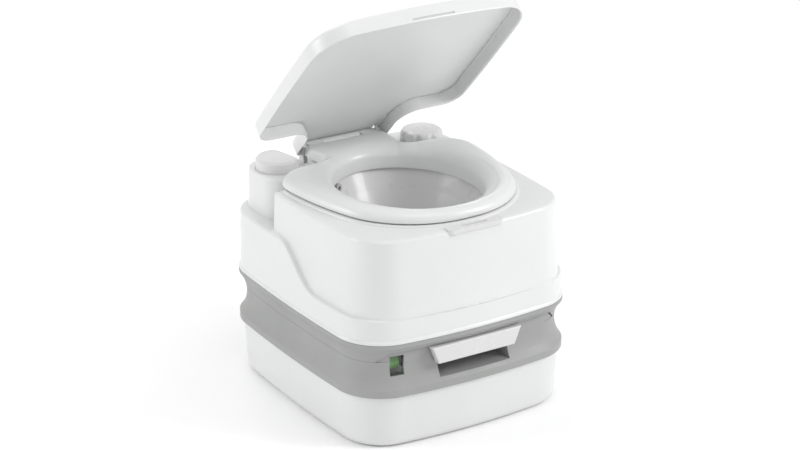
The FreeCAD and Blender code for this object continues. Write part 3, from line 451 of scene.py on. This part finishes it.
def block_plan(hinge_bay):
    """Outline of the block with the pump's bay let in, and higher up the hinge's bay too."""
    path = [(*crossing(BLOCK, 0, BAY_X, max), 3.0)]
    edge = BAY_X + 6
    if hinge_bay:
        path = [(*crossing(BLOCK, 0, HINGE_HALF, max), 2.5), (HINGE_HALF, HINGE_FRONT, 5.0),
                (BAY_X, HINGE_FRONT, 5.0)]
        edge = HINGE_HALF + 5
    path += [(BAY_X, BAY_Y, 20.0), (*crossing(BLOCK, 1, BAY_Y, min), 4.0)]

    def in_bays(x, y):
        return (x < BAY_X + 6 and y > BAY_Y - 8) or (x < edge and y > 100)

    return rounded(cut_out(BLOCK, in_bays, path))


def egg(depth):
    """The seat's outline, inset by a depth; its widest place is near the hinge."""
    return bowed(292.0 - 2 * depth, 430.0 - 2 * depth, 124.0 - depth, 50.0, 58.0, 20.0)


def plinth_plan():
    """Raised rim of the deck round the seat, with a stretch that runs back to the hinge."""
    whole = egg(-4.0)
    path = [(*crossing(whole, 1, 88.0, max), 12.0), (66.0, 88.0, 8.0), (66.0, 124.0, 6.0), (-68.0, 124.0, 6.0),
            (-68.0, 50.0, 26.0), (*crossing(whole, 1, 50.0, min), 8.0)]
    return rounded(cut_out(whole, lambda x, y: y > (76.0 if x > 0 else 44.0), path))


def leaning(plan, height):
    """Outline of the block at a height: its outer faces lean in, the walls of its bays stand straight."""
    points = []
    for (x, y), (sx, sy) in zip(plan, inset(plan, 1.0)):
        in_bay = (x < BAY_X + 12 and y > BAY_Y - 1) or (abs(x) < HINGE_HALF + 1 and y > HINGE_FRONT - 1)
        amount = -4.0 * (DECK_Z - height(x, y)) / (DECK_Z - RIDGE_Z) * (0.0 if in_bay else 1.0)
        points.append((x + (sx - x) * amount, y + (sy - y) * amount))
    return points


def add_skirt(skin):
    """Lip and skirt up to the rounded edge of the ledge; gives the outline where the ledge starts."""
    full = bowed(342.0, 382.0, 66.0)

    def drawn_in(height, depth):
        """The outline moved in by the skirt's slope at a height, and by a depth more."""
        moved = []
        for (x, y), (ix, iy) in zip(full, inset(full, 1.0)):
            amount = (2.2 + (height(x, y) - 152.0) * 1.4 / 83.5) + depth
            moved.append((x + (ix - x) * amount, y + (iy - y) * amount))
        return moved

    lip = ((3.2, 148.2), (2.4, 146.9), (0.9, 146.9), (0.25, 147.3), (0.0, 148.2), (0.1, 149.6), (0.9, 150.9),
           (2.1, LIP_TOP_Z))
    rings = [skin.ring(bowed(342.0 - 2 * depth, 382.0 - 2 * depth, 66.0 - depth), z) for depth, z in lip]
    for k in range(1, 9):
        def at(x, y, share=k / 8):
            return LIP_TOP_Z + (ledge(x, y) - LEDGE_EDGE_R - LIP_TOP_Z) * share

        rings.append(skin.ring(drawn_in(at, 0.0), at))
    for k in range(1, 6):
        angle = math.pi / 2 * k / 5
        drop = LEDGE_EDGE_R * (1 - math.sin(angle))
        brink = drawn_in(ledge, LEDGE_EDGE_R * (1 - math.cos(angle)))
        rings.append(skin.ring(brink, lambda x, y, drop=drop: ledge(x, y) - drop))
    skin.walls(rings)
    return brink


def add_block(skin, brink):
    """Ledge, walls with the bays let in, and the rounded edge of the deck."""
    lower_plan, upper_plan = block_plan(False), block_plan(True)
    foot = leaning(inset(lower_plan, -1.2), ledge)
    skin.sheet(brink, [foot], ledge, 7.0)

    # a small fillet where the walls meet the ledge
    rings = [skin.ring(foot, ledge),
             skin.ring(leaning(inset(lower_plan, -0.35), ledge), lambda x, y: ledge(x, y) + 0.35),
             skin.ring(leaning(lower_plan, ledge), lambda x, y: ledge(x, y) + 1.2)]
    for k in range(1, 7):
        def at(x, y, share=k / 6):
            return ledge(x, y) + 1.2 + (HINGE_FLOOR - ledge(x, y) - 1.2) * share

        rings.append(skin.ring(leaning(lower_plan, at), at))
    skin.walls(rings)

    # the hinge's bay starts at its floor
    edge_z = DECK_Z - DECK_EDGE_R
    rings = [skin.ring(leaning(upper_plan, lambda x, y: z), z) for z in (HINGE_FLOOR, edge_z)]
    for k in range(1, 8):
        angle = math.pi / 2 * k / 7
        depth = DECK_EDGE_R * (1 - math.cos(angle))
        rings.append(skin.ring(inset(upper_plan, depth), DECK_Z - DECK_EDGE_R * (1 - math.sin(angle))))
    skin.walls(rings)
    at_floor = leaning(lower_plan, lambda x, y: HINGE_FLOOR)
    rear = [(x, y) for x, y in at_floor if abs(x) < HINGE_HALF - 1 and y > 150]
    floor_loop = [(HINGE_HALF - 0.1, HINGE_FRONT + 0.1)] + rear + [(BAY_X + 0.1, HINGE_FRONT + 0.1)]
    skin.sheet(floor_loop, [], HINGE_FLOOR, 9.0)
    return inset(upper_plan, DECK_EDGE_R)


def add_deck(skin, border):
    """Deck, raised rim round the seat and the mouth of the bowl."""
    mouth, rim = oval(98.6, 116.6), plinth_plan()
    rim_z = DECK_Z + 2.5
    skin.sheet(border, [rim], DECK_Z, 8.0)
    skin.walls([skin.ring(rim, DECK_Z), skin.ring(inset(rim, 0.3), DECK_Z + 0.4),
                skin.ring(inset(rim, 0.9), DECK_Z + 1.9), skin.ring(inset(rim, 2.2), rim_z)])
    skin.sheet(inset(rim, 2.2), [mouth], rim_z, 8.0)
    skin.walls([skin.ring(mouth, rim_z), skin.ring(inset(mouth, 1.0), DECK_Z - 2.8)][::-1])


def make_upper_shell():
    skin = Skin()
    border = add_block(skin, add_skirt(skin))
    add_deck(skin, border)
    skin.make("upper_shell", "upper_unit", "white_shell", ["upper_body"], thickness=2.4)


make_upper_shell()


# ---- seat ----
SEAT_HALF, SEAT_BACK_Y, SEAT_END_Y = 60.5, 84.0, 141.5


def seat_plan():
    whole = egg(0.0)
    side = crossing(whole, 1, SEAT_BACK_Y - 46, max)[0]
    path = [(side, SEAT_BACK_Y, 44.0), (SEAT_HALF, SEAT_BACK_Y, 14.0), (SEAT_HALF, SEAT_END_Y, 1.0),
            (-SEAT_HALF, SEAT_END_Y, 1.0), (-SEAT_HALF, SEAT_BACK_Y, 14.0), (-side, SEAT_BACK_Y, 44.0)]
    return rounded(cut_out(whole, lambda x, y: y > SEAT_BACK_Y - 46, path))


def ray_hit(loop, centre, angle):
    """Farthest point of an outline in a direction."""
    dx, dy = math.cos(angle), math.sin(angle)
    best = 0.0
    for (ax, ay), (bx, by) in zip(loop, loop[1:] + loop[:1]):
        ex, ey = bx - ax, by - ay
        bottom = dx * ey - dy * ex
        if abs(bottom) < 1e-9:
            continue
        t = ((ax - centre[0]) * ey - (ay - centre[1]) * ex) / bottom
        u = ((ax - centre[0]) * dy - (ay - centre[1]) * dx) / bottom
        if 0 <= u <= 1 and t > best:
            best = t
    return best


def crown(value, width):
    """Gentle roll round the hole; where the seat is wide, a shallow valley and then the flat plate."""
    roll = 302.0 + 0.8 * math.sin(math.pi * value)
    wide = min(1.0, max(0.0, (width - 45.0) / 40.0))
    valley = 302.2 - 1.8 * math.exp(-((value - 0.34) / 0.16) ** 2)
    return roll + (valley - roll) * wide


# the seat's section: (distance, height), from the hole's wall up, across the crown, and down to the underside
ROLL_IN, ROLL_OUT = 17.0, 12.5
FROM_HOLE = [(2.6, 271.0), (1.4, 270.2), (0.2, 271.0), (0.0, 273.0), (0.0, 286.0), (0.8, 289.6), (2.6, 292.8),
             (5.4, 295.9), (9.0, 298.5), (13.0, 300.4), (ROLL_IN, 301.5)]
FROM_EDGE = [(ROLL_OUT, 301.4), (8.6, 300.2), (5.4, 298.4), (3.0, 296.2), (1.3, 293.6), (0.3, 291.0),
             (0.0, 289.2), (0.5, 288.2), (2.0, 288.0), (3.2, 288.6), (3.4, 291.5)]
UNDERSIDE = [(6.0, 291.5), (3.0, 289.0)]
FULL_WIDTH = 33.0      # where the seat is narrower than this, its section is squeezed


def seat_ring():
    centre, plan, hole = BOWL_CENTRE, seat_plan(), oval(94.0, 112.0, 256)
    count = 360
    skin = Skin()
    spokes = []
    for k in range(count):
        angle = 2 * math.pi * k / count
        near, far = ray_hit(hole, centre, angle), ray_hit(plan, centre, angle)
        spokes.append((math.cos(angle), math.sin(angle), near, far))
    section = ([("in", *row) for row in FROM_HOLE] + [("mid", k / 8, None) for k in range(1, 8)]
               + [("out", *row) for row in FROM_EDGE] + [("in", *row) for row in UNDERSIDE])
    rings = []
    for kind, value, z in section:
        start = len(skin.points)
        for cx, sy, near, far in spokes:
            scale = min(1.0, (far - near) / FULL_WIDTH)
            # the plate that runs back to the hinge has crisp edges
            crisp = min(1.0, max(0.15, (SEAT_BACK_Y + 30 - (centre[1] + sy * far)) / 24.0))
            height = z
            if kind == "in":
                reach = near + value * scale
            elif kind == "out":
                reach = far - value * scale * crisp
            else:
                low, high = near + ROLL_IN * scale, far - ROLL_OUT * scale * crisp
                reach = low + (high - low) * value
                height = crown(value, high - low)
            skin.points.append((centre[0] + cx * reach, centre[1] + sy * reach, height))
        rings.append(list(range(start, len(skin.points))))
    skin.walls(rings + rings[:1])
    skin.faces = [face[::-1] for face in skin.faces]
    return skin


def barrel_arc(start, stop):
    """(y, z) points round the hinge's axis, from one angle to another."""
    angles = [start + (stop - start) * k / 24 for k in range(25)]
    return [(HINGE_Y + BARREL_R * math.cos(a), HINGE_Z + BARREL_R * math.sin(a)) for a in angles]


def knuckle_block(skin, x0, x1, pad_y, low, high):
    """Barrel round the hinge axis with a flat arm that runs forward from it."""
    arc = []
    start, stop = math.asin((low - HINGE_Z) / BARREL_R), math.asin((high - HINGE_Z) / BARREL_R)
    for k in range(25):
        angle = math.pi - stop - (2 * math.pi - (stop - start)) * k / 24
        arc.append((HINGE_Y + BARREL_R * math.cos(angle), HINGE_Z + BARREL_R * math.sin(angle)))
    prism(skin, x0, x1, [(pad_y, low), (pad_y, high)] + arc)


def prism(skin, x0, x1, profile):
    """A (y, z) profile carried from x0 to x1, closed at both ends."""
    left = len(skin.points)
    skin.points += [(x0, p, q) for p, q in profile]
    right = len(skin.points)
    skin.points += [(x1, p, q) for p, q in profile]
    count = len(profile)
    for k in range(count):
        n = (k + 1) % count
        skin.faces.append((left + k, right + k, right + n, left + n))
    skin.faces.append(tuple(left + k for k in range(count)))
    skin.faces.append(tuple(right + k for k in reversed(range(count))))


def hinge_web(skin, x0, x1):
    """Barrel of the lid with a web that stands up from it to the underside of the lid."""
    front, rear, top = 1.0, 5.5, 304.5
    barrel = barrel_arc(math.acos(front / BARREL_R), 2 * math.pi + math.acos(rear / BARREL_R))
    prism(skin, x0, x1, [(HINGE_Y + front, top), (HINGE_Y + rear, top)] + barrel[::-1])


def make_seat():
    skin = seat_ring()
    for side in (-1, 1):
        x0, x1 = sorted((side * 30.0, side * 54.0))
        knuckle_block(skin, x0, x1, 137.0, 289.2, 302.0)
    skin.make("seat_ring", "seat", "white_shell", ["seat"], edge=0.7)


make_seat()


# ---- lid ----
LID_HALF, LID_BACK_Y = 70.0, 87.5
LUG_SLOT = (54.2, 61.5)      # the hinge lugs pass through the lid here
LID_OPEN = -46.0             # the lid is built closed and turned to where it rests


def lid_plan():
    whole = bowed(319.0, 341.0, 58.0, -11.0, 5.0, 13.0)
    right = crossing(whole, 1, LID_BACK_Y, max)
    rear = crossing(whole, 0, LID_HALF, max)
    path = [(*right, 26.0), (LID_HALF, LID_BACK_Y, 30.0), (*rear, 7.0), (-rear[0], rear[1], 7.0),
            (-LID_HALF, LID_BACK_Y, 30.0), (-right[0], right[1], 26.0)]
    return rounded(cut_out(whole, lambda x, y: y > LID_BACK_Y - 24, path), 14)


def make_lid():
    skin = Skin()
    plan = lid_plan()
    top_z = 312.0

    profile = [(0.5, 288.4), (0.1, 288.9), (0.0, 290.0), (0.0, 291.0), (0.0, 293.4), (0.05, 298.0)]
    edge_r = 8.5
    for k in range(9):
        angle = math.pi / 2 * k / 8
        profile.append((0.1 + edge_r * (1 - math.cos(angle)), top_z - edge_r * (1 - math.sin(angle))))
    skin.walls([skin.ring(inset(plan, depth), z) for depth, z in profile])
    brink = inset(plan, profile[-1][0])

    def dome(x, y):
        spread = max(0.0, 1 - (x / 152.0) ** 2) * max(0.0, 1 - ((y + 40) / 140.0) ** 2) if y < 90 else 0.0
        return top_z + 1.6 * spread

    def level_dome(x, y):
        near = min(1.0, max(0.0, min(150.0 - abs(x), y + 172.0, 78.0 - y) / 30.0))
        return top_z + (dome(x, y) - top_z) * near

    skin.sheet(brink, [], level_dome, 9.0)
    axis = Vector((0, HINGE_Y, HINGE_Z)) * MM
    opening = Matrix.Rotation(math.radians(LID_OPEN), 4, "X")
    turn = Matrix.Translation(axis) @ opening @ Matrix.Translation(-axis)
    latch_slit = ((-31, -200, 290.6), (31, -170, 293.6))
    rear_gap = ((-LUG_SLOT[1], 140, 280), (LUG_SLOT[1], 200, 303.6))
    slots = [((x0, 143, 280), (x0 + LUG_SLOT[1] - LUG_SLOT[0], 200, 320)) for x0 in (-LUG_SLOT[1], LUG_SLOT[0])]
    windows = [latch_slit, rear_gap] + slots
    skin.make("lid_shell", "lid", "white_shell", ["lid"], 2.6, 0.5, turn=turn, windows=windows)
    liner = Skin()
    liner.sheet(inset(plan, 2.3), [], lambda x, y: 305.2 + 3.6 * smooth((118.0 - y) / 75.0), 8.0)
    liner.make("lid_liner", "lid", "white_shell", [], 1.5, turn=turn, windows=slots)
    hinge = Skin()
    hinge_web(hinge, -29.5, 29.5)
    hinge.make("lid_knuckle", "lid", "white_shell", [], edge=0.6, turn=turn)


make_lid()


# ---- filler cap ----
def make_filler_cap():
    """Flat-topped cap with broad finger flutes."""
    skin = Skin()
    centre, count, flutes = (112.0, 120.0), 192, 8

    def loop(radius, depth):
        points = []
        for k in range(count):
            angle = 2 * math.pi * k / count
            wave = (0.5 + 0.5 * math.cos(flutes * angle)) ** 3
            reach = radius - depth * wave
            points.append((centre[0] + reach * math.cos(angle), centre[1] + reach * math.sin(angle)))
        return points

    # radius, depth of the flutes, height
    profile = [(24.6, 0, 288.0), (24.6, 0, 286.6), (28.6, 2.2, 286.6), (29.2, 2.6, 287.2),
               (29.2, 2.6, 293.0), (28.9, 2.6, 296.0), (28.0, 2.2, 298.4), (26.0, 0.8, 300.0),
               (23.0, 0.0, 301.2), (18.0, 0.0, 301.9), (9.0, 0.0, 302.2), (0.6, 0.0, 302.2)]
    skin.walls([skin.ring(loop(radius, depth), z) for radius, depth, z in profile])
    skin.faces.append(tuple(range(len(skin.points) - count, len(skin.points))))
    skin.make("cap_body", "filler", "white_trim", ["filler_cap"], smooth_angle=50)


make_filler_cap()


# ---- CAD pieces that stay, with softened edges ----
SLOTS = {row["node"]: row["material_slot"] for row in frame["record"]["subparts"]}
REBUILT = {"upper_body", "seat", "lid", "filler_cap"}
EDGE = {"waste_tank": 1.5, "tank_cover": 1.6, "base_ring": 1.2, "pump_housing": 1.2, "pour_spout": 0.8,
        "valve_handle": 0.6, "lid_catch": 0.8}
EDGE_OTHERS = 0.4


def soften(piece, width_mm):
    merge = piece.modifiers.new("flats", "DECIMATE")
    merge.decimate_type, merge.angle_limit = "DISSOLVE", math.radians(0.6)
    bevel = piece.modifiers.new("edges", "BEVEL")
    bevel.width, bevel.segments, bevel.limit_method = width_mm * MM, 3, "ANGLE"
    bevel.angle_limit = math.radians(32)
    bevel.harden_normals = True


for node_name, node in NODES.items():
    dress(node, SLOTS[node_name])
    for face in node.data.polygons:
        face.use_smooth = True
    if node_name not in REBUILT:
        soften(node, EDGE.get(node_name, EDGE_OTHERS))


# ---- bellows and spring: copies of their CAD nodes, put on their bodies ----
# body, joint, height of the fixed end and the joint's travel, in millimetres
SPRINGY = {"bellows": ("upper_unit", "pump_press", 236.1, 12.0),
           "vent_spring": ("lower_unit", "vent_press", 109.6, 5.0)}


def make_springy(node_name, body, joint, fixed_z, travel):
    """Copy of a CAD node, put on a body in place of the node; it does not shorten, and the joint, fixed end and
    travel are not used.
    """
    piece = bpy.data.objects.new(node_name + "_soft", NODES[node_name].data.copy())
    bpy.context.scene.collection.objects.link(piece)
    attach(piece, body)
    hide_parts(node_name)
    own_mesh(piece)


for node_name, settings in SPRINGY.items():
    make_springy(node_name, *settings)
